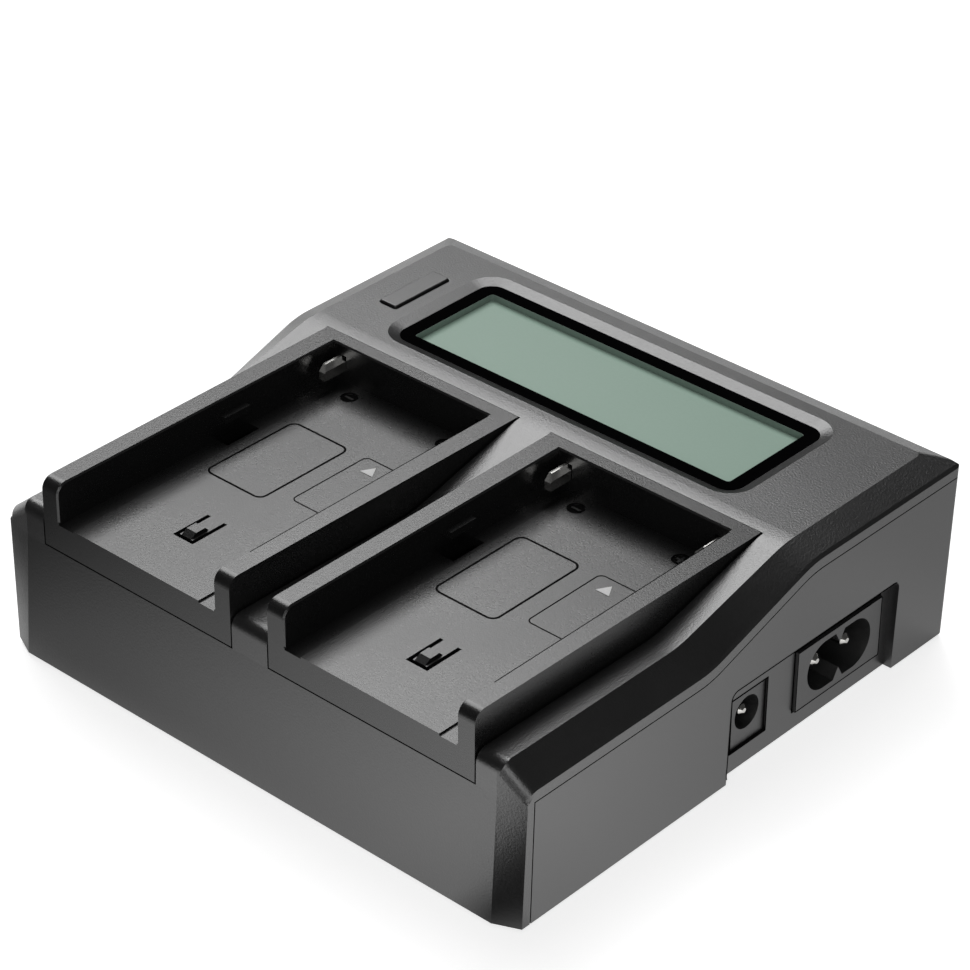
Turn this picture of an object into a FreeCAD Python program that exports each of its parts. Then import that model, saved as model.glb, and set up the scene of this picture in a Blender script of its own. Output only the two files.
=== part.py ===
import FreeCAD, Part
import math
import os
from types import SimpleNamespace

import Sketcher

# Dual battery charger. X runs to the right, Y to the back and Z up.
# The origin is the middle of the footprint, on the surface that the feet stand on.
DIMENSIONS = {
    # moulded case; heights are above the underside of the case
    "case_width": 124.0,
    "side_lean": 0.75,
    "case_depth": 118.0,
    "case_height": 38.8,
    "wall": 2.2,
    "foot_stand": 0.8,
    "corner_round": 1.2,
    "crown_round": 3.5,
    # front face, which leans back up to the trays, and its cut corners
    "front_lean": 1.54,
    "front_top_round": 2.3,
    "corner_cut_side": 4.85,
    "corner_cut_spread": 0.9,
    "corner_cut_front": 2.2,
    "corner_cut_lean": 0.35,
    # sloping border of the cover
    "low_drop": 7.2,
    "low_border_height": 6.3,
    "high_border_height": 4.6,
    "rim_height": 1.5,
    "facet_run": 0.6,
    "facet_rise": 0.95,
    "bevel_run": 4.6,
    "back_bevel_drop": 1.9,
    "ramp_length": 27.95,
    "ramp_rim_lead": 3.0,
    "ramp_rim_trail": 2.0,
    "knee_run": 3.0,
    # joint between cover and case
    "seam_gap": 0.25,
    "apron_return": 4.1,
    "sill_height": 7.0,
    # battery trays
    "bay_centre": 27.86,
    "tray_inner_half": 19.45,
    "tray_wall_front": 3.9,
    "tray_wall_rear": 4.45,
    "tray_back": 14.55,
    "tray_floor_drop": 0.5,
    "tray_base_height": 5.9,
    "tray_back_wall": 2.95,
    "tray_skin": 1.8,
    "tray_gap": 0.3,
    "wall_nose_round": 2.3,
    "wall_edge_bevel": 0.3,
    "groove_width": 3.8,
    "groove_depth": 0.4,
    "tub_wall": 1.6,
    "tub_floor": 2.0,
    # catch tongue in the tray floor
    "tongue_inset": 12.15,
    "tongue_length": 7.6,
    "tongue_width": 3.2,
    "tongue_slot": 0.85,
    "catch_height": 0.8,
    "catch_rise_run": 1.3,
    "catch_flat": 2.2,
    # guide tabs on the tray walls
    "tab_inset": 32.55,
    "tab_length": 6.4,
    "tab_reach": 1.3,
    "tab_rise": 3.1,
    "tab_thickness": 1.4,
    "tab_opening_margin": 0.8,
    "tab_opening_width": 2.6,
    # polarity marks
    "mark_spacing": 12.0,
    "mark_inset": 6.65,
    "mark_radius": 1.75,
    "mark_sink": 0.4,
    "mark_bar": 2.0,
    "mark_line": 0.5,
    "mark_relief": 0.3,
    # contact blades
    "blade_inset": 2.35,
    "blade_thickness": 1.5,
    "blade_reach": 8.55,
    "blade_rise": 2.4,
    "blade_height": 2.9,
    "blade_leg": 1.2,
    "blade_taper": 1.2,
    "blade_facet": 0.9,
    "blade_gap": 0.1,
    "terminal_height": 2.8,
    "terminal_depth": 4.6,
    # display
    "screen_centre_side": -0.9,
    "screen_shift": 0.975,
    "screen_side_margin": 16.2,
    "screen_half_back": 13.65,
    "screen_corner": 3.4,
    "dish_run": 2.2,
    "dish_depth": 0.8,
    "bezel_side_frame": 2.8,
    "bezel_back_frame": 2.7,
    "window_corner": 0.8,
    "bezel_gap": 0.1,
    "bezel_flange": 1.5,
    "glass_sink": 1.5,
    "glass_thickness": 2.4,
    "glass_overlap": 1.4,
    "backlight_thickness": 2.5,
    "display_board_thickness": 1.6,
    "display_board_side_margin": 6.5,
    "display_board_margin": 2.2,
    "display_post_inset": 4.8,
    # mode button
    "button_inset": 7.6,
    "button_shift": 0.35,
    "button_width": 4.2,
    "button_length": 15.0,
    "button_round": 0.6,
    "button_proud": 0.6,
    "button_gap": 0.25,
    "button_flange": 0.8,
    "button_flange_height": 0.8,
    "button_stem_radius": 1.5,
    "button_travel": 0.5,
    "switch_size": 6.0,
    "switch_body": 2.2,
    "switch_plunger": 0.6,
    # recess on the right side
    "recess_front_margin": 7.8,
    "recess_rear_margin": 14.7,
    "recess_top": 19.3,
    "recess_depth": 1.8,
    "recess_round": 1.6,
    # mains inlet
    "inlet_inset": 30.6,
    "inlet_up": 10.15,
    "inlet_width": 24.2,
    "inlet_tall": 12.7,
    "inlet_body": 17.0,
    "inlet_proud": 0.6,
    "socket_width": 18.8,
    "socket_tall": 10.0,
    "socket_waist": 5.4,
    "socket_waist_run": 2.6,
    "socket_round": 5.01,
    "socket_depth": 12.0,
    "pin_spacing": 8.6,
    "pin_radius": 1.19,
    "pin_length": 10.5,
    "pin_tail": 5.0,
    "pin_bevel": 0.7,
    "insert_gap": 0.25,
    # low-voltage inlet
    "jack_spacing": 24.7,
    "jack_up": 9.6,
    "jack_width": 9.6,
    "jack_tall": 11.0,
    "jack_body": 14.0,
    "jack_sink": 0.5,
    "jack_bore_up": 10.3,
    "jack_bore_radius": 3.3,
    "jack_bore_depth": 9.5,
    "jack_pin_radius": 1.05,
    "jack_pin_length": 9.0,
    "jack_pin_bevel": 0.6,
    # main board
    "board_left_margin": 6.25,
    "board_inlet_gap": 2.05,
    "board_front_gap": 1.5,
    "board_rear_margin": 8.0,
    "board_up": 5.2,
    "board_thickness": 1.6,
    "post_radius": 3.2,
    "post_side_inset": 5.12,
    "post_front_inset": 5.0,
    "post_rear_inset": 11.0,
    "board_screw_radius": 1.25,
    # components on the board
    "part_gap": 1.5,
    "core_length": 26.0,
    "core_depth": 20.0,
    "core_bar": 4.0,
    "core_terminal_gap": 4.45,
    "core_headroom": 3.2,
    "winding_gap": 0.3,
    "winding_margin": 2.0,
    "capacitor_radius": 8.0,
    "capacitor_side_inset": 17.5,
    "capacitor_rear_inset": 9.0,
    "capacitor_headroom": 1.2,
    "capacitor_bevel": 0.8,
    "output_radius": 4.0,
    "output_height": 12.0,
    "output_pitch": 11.0,
    "output_count": 3.0,
    "output_bevel": 0.5,
    "sink_length": 48.0,
    "sink_plate": 2.0,
    "sink_depth": 9.0,
    "sink_inset": 18.0,
    "sink_headroom": 3.1,
    "fin_thickness": 1.2,
    "fin_count": 7.0,
    "controller_length": 12.0,
    "controller_depth": 8.0,
    "controller_height": 1.8,
    "controller_gap": 11.0,
    "filter_radius": 7.0,
    "filter_bore": 3.0,
    "filter_height": 8.0,
    "fuse_radius": 2.6,
    "fuse_length": 16.0,
    "fuse_side_inset": 17.0,
    "fuse_gap": 8.4,
    # screws and bosses
    "boss_gap": 0.5,
    "screw_front_inset": 15.0,
    "screw_rear_inset": 9.0,
    "boss_radius": 3.4,
    "boss_drop": 11.2,
    "head_radius": 2.8,
    "head_height": 1.8,
    "screw_grip": 7.0,
    "screw_shank": 1.3,
    # feet and vents
    "foot_radius": 4.5,
    "foot_seat": 0.7,
    "foot_bevel": 0.35,
    "foot_side_inset": 7.25,
    "foot_front_inset": 9.5,
    "foot_rear_inset": 13.0,
    "vent_length": 26.0,
    "vent_width": 1.6,
    "vent_round": 0.7,
    "vent_pitch": 4.5,
    "vent_count": 8.0,
}

doc = FreeCAD.newDocument("dual_battery_charger")
sheet = doc.addObject("Spreadsheet::Sheet", "Sizes")
for row, (alias, number) in enumerate(DIMENSIONS.items(), start=1):
    sheet.set(f"A{row}", alias)
    sheet.set(f"B{row}", str(number))
    sheet.setAlias(f"B{row}", alias)
doc.recompute()


class Size:
    # a length that carries its value and the sheet expression behind it
    def __init__(self, value, text):
        self.value = value
        self.text = text

    def joined(self, other, sign, value):
        return Size(value, f"({self.text} {sign} {sized(other).text})")

    def __add__(self, other):
        return self.joined(other, "+", self.value + sized(other).value)

    def __sub__(self, other):
        return self.joined(other, "-", self.value - sized(other).value)

    def __mul__(self, other):
        return self.joined(other, "*", self.value * sized(other).value)

    def __truediv__(self, other):
        return self.joined(other, "/", self.value / sized(other).value)

    def __radd__(self, other):
        return sized(other) + self

    def __rsub__(self, other):
        return sized(other) - self

    def __rmul__(self, other):
        return sized(other) * self

    def __neg__(self):
        return 0 - self


def sized(number):
    return number if isinstance(number, Size) else Size(float(number), repr(float(number)))


def root(size):
    return Size(math.sqrt(size.value), f"sqrt({size.text})")


d = SimpleNamespace(**{name: Size(value, f"Sizes.{name}") for name, value in DIMENSIONS.items()})


def bind(item, path, size):
    item.setExpression(path, sized(size).text)


def place(item, x=0, y=0, z=0):
    item.Placement.Base = FreeCAD.Vector(sized(x).value, sized(y).value, sized(z).value)
    for axis, size in (("x", x), ("y", y), ("z", z)):
        if isinstance(size, Size):
            bind(item, f"Placement.Base.{axis}", size)


# Sketches and the solids made from them

def plane_sketch(body, name, role, offset=0):
    sketch = body.newObject("Sketcher::SketchObject", name)
    plane = next(f for f in body.Origin.OriginFeatures if f.Role == role)
    sketch.AttachmentSupport = [(plane, "")]
    sketch.MapMode = "FlatFace"
    lift = FreeCAD.Vector(0, 0, sized(offset).value)
    sketch.AttachmentOffset = FreeCAD.Placement(lift, FreeCAD.Rotation())
    if isinstance(offset, Size):
        bind(sketch, "AttachmentOffset.Base.z", offset)
    return sketch


def hold_point(sketch, geometry, point, corner):
    for kind, size in zip(("DistanceX", "DistanceY"), corner):
        size = sized(size)
        index = sketch.addConstraint(Sketcher.Constraint(kind, -1, 1, geometry, point, size.value))
        bind(sketch, f"Constraints[{index}]", size)


def arc_between(start, end, radius):
    # a positive radius turns left from start to end, a negative one turns right
    sx, sy = start
    ex, ey = end
    reach = math.hypot(ex - sx, ey - sy)
    rise = math.sqrt(max(radius * radius - reach * reach / 4, 0.0))
    side = 1.0 if radius > 0 else -1.0
    cx = (sx + ex) / 2 - side * rise * (ey - sy) / reach
    cy = (sy + ey) / 2 + side * rise * (ex - sx) / reach
    first = math.atan2(sy - cy, sx - cx)
    last = math.atan2(ey - cy, ex - cx)
    if radius < 0:
        first, last = last, first
    circle = Part.Circle(FreeCAD.Vector(cx, cy, 0), FreeCAD.Vector(0, 0, 1), abs(radius))
    return Part.ArcOfCircle(circle, first, last)


def outline(sketch, corners, arcs=None):
    # closed outline through the corners; arcs gives the radius of a side by its number
    arcs = arcs or {}
    count = len(corners)
    flat = [(sized(x).value, sized(y).value) for x, y in corners]
    sides = []
    for i in range(count):
        start, end = flat[i], flat[(i + 1) % count]
        if i in arcs:
            radius = sized(arcs[i])
            geometry = sketch.addGeometry(arc_between(start, end, radius.value))
            sides.append((geometry, 1, 2) if radius.value > 0 else (geometry, 2, 1))
        else:
            line = Part.LineSegment(FreeCAD.Vector(*start, 0), FreeCAD.Vector(*end, 0))
            sides.append((sketch.addGeometry(line), 1, 2))
    for i, (geometry, start_point, end_point) in enumerate(sides):
        following = sides[(i + 1) % count]
        join = Sketcher.Constraint("Coincident", geometry, end_point, following[0], following[1])
        sketch.addConstraint(join)
        hold_point(sketch, geometry, start_point, corners[i])
    for i, radius in arcs.items():
        radius = sized(radius)
        size = radius if radius.value > 0 else -radius
        index = sketch.addConstraint(Sketcher.Constraint("Radius", sides[i][0], size.value))
        bind(sketch, f"Constraints[{index}]", size)


def ring(sketch, centre, radius):
    radius = sized(radius)
    middle = FreeCAD.Vector(sized(centre[0]).value, sized(centre[1]).value, 0)
    circle = Part.Circle(middle, FreeCAD.Vector(0, 0, 1), radius.value)
    geometry = sketch.addGeometry(circle)
    hold_point(sketch, geometry, 3, centre)
    index = sketch.addConstraint(Sketcher.Constraint("Radius", geometry, radius.value))
    bind(sketch, f"Constraints[{index}]", radius)


def rectangle(left, right, low, high):
    return [(left, low), (right, low), (right, high), (left, high)]


def in_order(first, second):
    return (first, second) if first.value < second.value else (second, first)


def rounded(centre_x, centre_y, half_x, half_y, radius):
    # corners and arcs of a rectangle with round corners
    left, right = centre_x - half_x, centre_x + half_x
    low, high = centre_y - half_y, centre_y + half_y
    corners = [
        (left + radius, low), (right - radius, low), (right, low + radius), (right, high - radius),
        (right - radius, high), (left + radius, high), (left, high - radius), (left, low + radius),
    ]
    return corners, {1: radius, 3: radius, 5: radius, 7: radius}


def new_body(label):
    body = doc.addObject("PartDesign::Body", label)
    body.Label = label
    return body


def extrude(body, kind, sketch, length, reverse=False, symmetric=False, taper=None):
    doc.recompute()
    before = body.Shape.Volume if body.Shape and not body.Shape.isNull() else 0.0
    feature = body.newObject(f"PartDesign::{kind}", f"{sketch.Name}_{kind}")
    feature.Profile = sketch
    feature.Length = sized(length).value
    bind(feature, "Length", length)
    if symmetric:
        feature.SideType = "Symmetric"
    feature.Reversed = reverse
    if taper is not None:
        feature.TaperAngle = taper
    sketch.Visibility = False
    doc.recompute()
    if abs(body.Shape.Volume - before) < 1e-6:
        raise RuntimeError(f"{body.Label}: {feature.Name} changed nothing")
    return feature


def pad(body, sketch, length, **options):
    return extrude(body, "Pad", sketch, length, **options)


def pocket(body, sketch, length, **options):
    return extrude(body, "Pocket", sketch, length, **options)


def round_edges(body, name, radius, chosen):
    base = body.Tip
    numbers = [n for n, edge in enumerate(base.Shape.Edges, start=1) if chosen(edge)]
    if not numbers:
        raise RuntimeError(f"{name}: no edge chosen")
    fillet = body.newObject("PartDesign::Fillet", name)
    fillet.Base = (base, [f"Edge{n}" for n in numbers])
    fillet.Radius = sized(radius).value
    bind(fillet, "Radius", radius)
    doc.recompute()
    if "Invalid" in fillet.State or fillet.Shape.isNull():
        raise RuntimeError(f"{name}: the rounding failed")


def bevel_edges(body, name, size, chosen):
    base = body.Tip
    numbers = [n for n, edge in enumerate(base.Shape.Edges, start=1) if chosen(edge)]
    if not numbers:
        raise RuntimeError(f"{name}: no edge chosen")
    bevel = body.newObject("PartDesign::Chamfer", name)
    bevel.Base = (base, [f"Edge{n}" for n in numbers])
    bevel.Size = sized(size).value
    bind(bevel, "Size", size)
    doc.recompute()
    if "Invalid" in bevel.State or bevel.Shape.isNull():
        raise RuntimeError(f"{name}: the bevel failed")


def prism(label, role, offset, length, outlines, **options):
    body = new_body(label)
    sketch = plane_sketch(body, f"{label}_plan", role, offset)
    for shape in outlines:
        outline(sketch, *shape) if isinstance(shape, tuple) else outline(sketch, shape)
    pad(body, sketch, length, **options)
    return body


def ruled_loft(label, role, sections):
    body = new_body(label)
    sketches = []
    for number, (offset, corners, arcs) in enumerate(sections, start=1):
        sketch = plane_sketch(body, f"{label}_section{number}", role, offset)
        outline(sketch, corners, arcs)
        sketches.append(sketch)
    doc.recompute()
    loft = body.newObject("PartDesign::AdditiveLoft", f"{label}_loft")
    loft.Profile = sketches[0]
    loft.Sections = sketches[1:]
    loft.Ruled = True
    doc.recompute()
    return body


# Simple solids and their combinations

def block(label, left, right, front, back, low, high):
    box = doc.addObject("Part::Box", label)
    box.Label = label
    for side, size in (("Length", right - left), ("Width", back - front), ("Height", high - low)):
        setattr(box, side, size.value)
        bind(box, side, size)
    place(box, left, front, low)
    return box


def rod(label, x, y, low, high, radius):
    cylinder = doc.addObject("Part::Cylinder", label)
    cylinder.Label = label
    height = sized(high) - low
    cylinder.Radius = sized(radius).value
    bind(cylinder, "Radius", radius)
    cylinder.Height = height.value
    bind(cylinder, "Height", height)
    place(cylinder, x, y, low)
    return cylinder


def side_rod(label, start, length, y, z, radius):
    cylinder = rod(label, start, y, z, z + length, radius)
    cylinder.Placement.Rotation = FreeCAD.Rotation(FreeCAD.Vector(0, 1, 0), 90)
    return cylinder


def fuse(label, pieces):
    group = doc.addObject("Part::MultiFuse", label)
    group.Label = label
    group.Shapes = pieces
    return group


def cut(label, base, tools):
    tool = tools[0] if len(tools) == 1 else fuse(f"{label}_tools", tools)
    result = doc.addObject("Part::Cut", label)
    result.Label = label
    result.Base = base
    result.Tool = tool
    return result


def common(label, pieces):
    result = doc.addObject("Part::MultiCommon", label)
    result.Label = label
    result.Shapes = pieces
    return result


def gather(label, pieces):
    group = doc.addObject("Part::Compound", label)
    group.Label = label
    group.Links = pieces
    return group


def soften(label, base, radius, chosen, kind="Fillet"):
    # round or chamfer the edges of base that chosen picks
    doc.recompute()
    size = sized(radius)
    numbers = [n for n, edge in enumerate(base.Shape.Edges, start=1) if chosen(edge)]
    if not numbers:
        raise RuntimeError(f"{label}: no edge chosen")
    result = doc.addObject(f"Part::{kind}", label)
    result.Label = label
    result.Base = base
    result.Edges = [(n, size.value, size.value) for n in numbers]
    doc.recompute()
    return result


def near(number, size, room=0.05):
    return abs(number - sized(size).value) < room


SPARE = 3.0

nodes = {}

# A width well past both sides, for tools that cut right across
ACROSS = d.case_width + 8 * SPARE

# Levels that several pieces share, from the top down
base_z = d.foot_stand
deck_z = base_z + d.case_height
skin_z = deck_z - d.wall
low_z = deck_z - d.low_drop
seam_high_z = deck_z - d.high_border_height
seam_low_z = low_z - d.low_border_height
rim_high_z = seam_high_z + d.rim_height
rim_low_z = seam_low_z + d.rim_height
tray_floor_z = low_z - d.tray_floor_drop
tray_bottom_z = tray_floor_z - d.tray_base_height
bay_floor_z = tray_bottom_z - d.tray_gap
tub_under_z = bay_floor_z - d.tub_floor
post_top_z = tray_bottom_z - d.boss_drop
blade_low_z = tray_floor_z + d.blade_rise
blade_high_z = blade_low_z + d.blade_height
board_top_z = base_z + d.board_up + d.board_thickness

# Planes and places that several pieces share
half_width = d.case_width / 2
half_foot = half_width - d.side_lean
half_depth = d.case_depth / 2
border = d.facet_run + d.bevel_run
tray_front = d.front_lean - half_depth
front_inner = d.wall + d.front_lean / 2 - half_depth
apron_end = d.apron_return - half_depth
tray_front_half = d.tray_inner_half + d.tray_wall_front
tray_back_half = d.tray_inner_half + d.tray_wall_rear
blade_offset = d.tray_inner_half - d.blade_inset
ramp_end = d.tray_back
ramp_start = ramp_end - d.ramp_length
panel_x = half_foot - d.recess_depth
screen_half_x = half_width - border - d.screen_side_margin
screen_half_y = d.screen_half_back
window_half_x = screen_half_x - d.bezel_side_frame
window_half_y = screen_half_y - d.bezel_back_frame
screw_side = screen_half_x + d.bezel_flange + d.boss_radius + d.boss_gap
display_board_half = screw_side + d.display_board_side_margin
screw_front = d.screw_front_inset - half_depth
screw_rear = half_depth - d.screw_rear_inset
inlet_y = half_depth - d.inlet_inset
jack_y = inlet_y - d.jack_spacing
screen_y = (d.tray_back + half_depth - border) / 2 + d.screen_shift
button_x = d.screen_centre_side - screen_half_x - d.button_inset
button_y = screen_y + d.button_shift
board_left = d.board_left_margin - half_foot
board_right = panel_x + d.inlet_proud - d.inlet_body - d.board_inlet_gap
board_front = screw_front + d.boss_radius + d.wall / 2 + d.board_front_gap
board_back = half_depth - d.board_rear_margin


def ramp_line(y_start, y_end, z_start, z_end):
    # corner points of the ramp with its two rounded knees, front to back
    run = y_end - y_start
    rise = z_end - z_start
    length = root(run * run + rise * rise)
    along = d.knee_run * run / length
    up = d.knee_run * rise / length
    radius = d.knee_run * (length + run) / rise
    points = [
        (y_start - d.knee_run, z_start), (y_start + along, z_start + up),
        (y_end - along, z_end - up), (y_end + d.knee_run, z_end),
    ]
    return points, radius


def side_profile(front, back, bottom, points, radius):
    # the side view of a solid under the ramp line, walked from the front foot
    corners = [(front, bottom), (back, bottom), (back, points[3][1])]
    corners += [points[3], points[2], points[1], points[0]]
    corners += [(front, points[0][1])]
    return corners, {3: radius, 5: -radius}


top_line = ramp_line(ramp_start, ramp_end, low_z, deck_z)
rim_start = ramp_start + d.ramp_rim_lead
rim_end = ramp_end + d.ramp_rim_trail
facet_line = ramp_line(rim_start, rim_end, rim_low_z + d.facet_rise, rim_high_z + d.facet_rise)
rim_line = ramp_line(rim_start, rim_end, rim_low_z, rim_high_z)
seam_line = ramp_line(rim_start, rim_end, seam_low_z, seam_high_z)


# Outer form shared by the cover and the case

def plan_outline(level):
    # cut corners at the front and small round ones at the back, at a level of the leaning walls
    crease = bay_floor_z - base_z
    share = level / crease
    half = half_foot + d.side_lean * level / (seam_high_z - base_z)
    front = tray_front if share.value > 0 else -half_depth
    back = half_depth
    turn = d.corner_round
    cut_x = half - d.corner_cut_side - d.corner_cut_spread * share
    cut_y = d.corner_cut_front + d.corner_cut_lean * share - half_depth
    corners = [
        (-cut_x, front), (cut_x, front), (half, cut_y), (half, back - turn), (half - turn, back),
        (-half + turn, back), (-half, back - turn), (-half, cut_y),
    ]
    return base_z + level, corners, {3: turn, 5: turn}


def build_envelope():
    levels = [sized(0), bay_floor_z - base_z, d.case_height + SPARE]
    return ruled_loft("envelope", "XY_Plane", [plan_outline(level) for level in levels])


def build_top_form():
    front = -half_depth - SPARE
    back = half_depth + SPARE

    def section(line):
        points, radius = line
        return side_profile(front, back, base_z, points, radius)

    right = [
        (half_width + d.facet_run, section(rim_line)),
        (half_width - d.facet_run, section(facet_line)),
        (half_width - border, section(top_line)),
    ]
    sections = [(-x, *shape) for x, shape in right] + [(x, *shape) for x, shape in right[::-1]]
    return ruled_loft("top_form", "YZ_Plane", sections)


def build_back_bevel():
    # removes what lies above the sloping border at the back
    edge = half_depth
    top = deck_z + SPARE
    corners = [
        (edge - border, deck_z), (edge - d.facet_run, deck_z - d.back_bevel_drop),
        (edge, deck_z - d.back_bevel_drop - d.facet_rise), (edge + SPARE, rim_high_z - d.facet_rise),
        (edge + SPARE, top), (edge - border, top),
    ]
    return prism("back_bevel", "YZ_Plane", 0, ACROSS, [corners], symmetric=True)


def is_hip(edge):
    # the sloping edge where the border of a side meets the one at the back
    heights = [vertex.Point.z for vertex in edge.Vertexes]
    rearmost = max(vertex.Point.y for vertex in edge.Vertexes)
    falls = max(heights) - min(heights) > d.rim_height.value
    return falls and near(max(heights), deck_z) and near(rearmost, half_depth - d.facet_run)


def is_front_top(edge):
    # the top edge of the front face, on over the cut corners and down to the rim
    first, last = edge.Vertexes[0].Point, edge.Vertexes[-1].Point
    upright = abs(first.x - last.x) < 0.02
    high = min(first.z, last.z) > rim_low_z.value - 0.1
    return high and not upright and edge.BoundBox.YMax < (apron_end - d.wall / 2).value


def below_seam(label, shift, inset=0):
    # everything behind the apron and under the seam line, which shift moves up or down
    points, radius = seam_line
    points = [(y, z + shift) for y, z in points]
    front = apron_end + inset
    corners, arcs = side_profile(front, half_depth + SPARE, base_z - SPARE, points, radius)
    return prism(label, "YZ_Plane", 0, ACROSS, [(corners, arcs)], symmetric=True)


def tray_outline(centre, gap, front, back):
    slope = (tray_back_half - tray_front_half) / (d.tray_back - tray_front)
    front_half = tray_front_half + gap + slope * (front - tray_front)
    back_half = tray_back_half + gap + slope * (back - d.tray_back)
    return [
        (centre - front_half, front), (centre + front_half, front),
        (centre + back_half, back), (centre - back_half, back),
    ]


def build_top_cover(envelope):
    block_form = common("cover_block", [build_top_form(), envelope])
    bevelled = cut("cover_bevelled", block_form, [build_back_bevel()])
    crowned = soften("cover_crown", bevelled, d.crown_round, is_hip)
    outer = soften("cover_front_round", crowned, d.front_top_round, is_front_top)
    skin_line = ramp_line(ramp_start, ramp_end, low_z - d.wall, deck_z - d.wall)
    edge_line = ramp_line(rim_start, rim_end, rim_low_z, rim_high_z - d.facet_rise)
    side_front = d.wall + d.corner_cut_front + d.corner_cut_lean - half_depth
    back = half_depth - d.wall

    def section(line, y_front):
        points, radius = line
        return side_profile(y_front, back, base_z - SPARE, points, radius)

    inner_x = half_width - border - d.wall / 2
    right = [(half_foot - d.wall, section(edge_line, side_front)), (inner_x, section(skin_line, front_inner))]
    hollow = ruled_loft(
        "cover_hollow", "YZ_Plane",
        [(-x, *shape) for x, shape in right] + [(x, *shape) for x, shape in right[::-1]],
    )
    tubs = []
    bays = []
    for name, centre in (("left", -d.bay_centre), ("right", d.bay_centre)):
        room = d.tray_gap + d.tub_wall
        tub = tray_outline(centre, room, -half_depth, d.tray_back + room)
        tubs.append(prism(f"{name}_tub", "XY_Plane", tub_under_z, d.case_height, [tub]))
        bay = tray_outline(centre, d.tray_gap, -half_depth - SPARE, d.tray_back + d.tray_gap)
        bays.append(prism(f"{name}_bay", "XY_Plane", bay_floor_z, d.case_height, [bay]))
        passages = blade_slots(centre, d.tray_gap)
        low = tub_under_z - SPARE
        bays.append(prism(f"{name}_passages", "XY_Plane", low, d.tub_floor + SPARE * 2, passages))
    cavity = cut("cover_cavity", hollow, tubs)
    dish, opening = build_screen_cuts()
    button_hole = prism(
        "button_hole", "XY_Plane", skin_z - SPARE, d.case_height,
        [rounded(button_x, button_y, d.button_width / 2 + d.button_gap,
                 d.button_length / 2 + d.button_gap, d.button_round + d.button_gap)],
    )
    underside = cut("cover_underside", below_seam("cover_seam_space", sized(0)), tubs)
    shell = cut("cover_shell", outer, [cavity, underside] + bays + [dish, opening, button_hole])
    bosses = []
    holes = []
    for y, top in ((screw_front, tub_under_z), (screw_rear, skin_z)):
        for side in (-1, 1):
            x = side * screw_side
            name = f"cover_boss{len(bosses) + 1}"
            bosses.append(rod(name, x, y, post_top_z, top + d.wall / 2, d.boss_radius))
            bore_low = post_top_z - SPARE
            holes.append(rod(f"{name}_bore", x, y, bore_low, bore_low + d.screw_grip + SPARE, d.screw_shank))
    board_top = display_board_z() + d.display_board_thickness
    for x, y in display_post_places():
        name = f"display_post{len(bosses) - 3}"
        bosses.append(rod(name, x, y, board_top, skin_z + d.wall / 2, d.post_radius))
    body = fuse("cover_with_bosses", [shell] + bosses)
    nodes["top_cover"] = cut("top_cover", body, holes)


# Display

def display_board_z():
    screen_z = deck_z - d.dish_depth - d.glass_sink
    return screen_z - d.glass_thickness - d.backlight_thickness - d.display_board_thickness


def display_post_places():
    side = display_board_half - d.display_post_inset
    front = button_y - d.button_length
    return [(-side, front), (side, front), (side, screen_y + screen_half_y / 2)]


def build_screen_cuts():
    half_x = screen_half_x + d.bezel_gap
    half_y = screen_half_y + d.bezel_gap
    floor_z = deck_z - d.dish_depth
    body = new_body("screen_dish")
    grown = d.dish_run * (d.dish_depth + SPARE) / d.dish_depth
    sketches = []
    for number, (z, extra) in enumerate(((floor_z, sized(0)), (deck_z + SPARE, grown)), start=1):
        sketch = plane_sketch(body, f"screen_dish_section{number}", "XY_Plane", z)
        corners, arcs = rounded(
            d.screen_centre_side, screen_y, half_x + extra, half_y + extra,
            d.screen_corner + extra,
        )
        outline(sketch, corners, arcs)
        sketches.append(sketch)
    doc.recompute()
    loft = body.newObject("PartDesign::AdditiveLoft", "screen_dish_loft")
    loft.Profile = sketches[0]
    loft.Sections = sketches[1:]
    loft.Ruled = True
    opening = prism(
        "screen_opening", "XY_Plane", skin_z - SPARE, d.case_height,
        [rounded(d.screen_centre_side, screen_y, half_x, half_y, d.screen_corner)],
    )
    return body, opening


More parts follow.
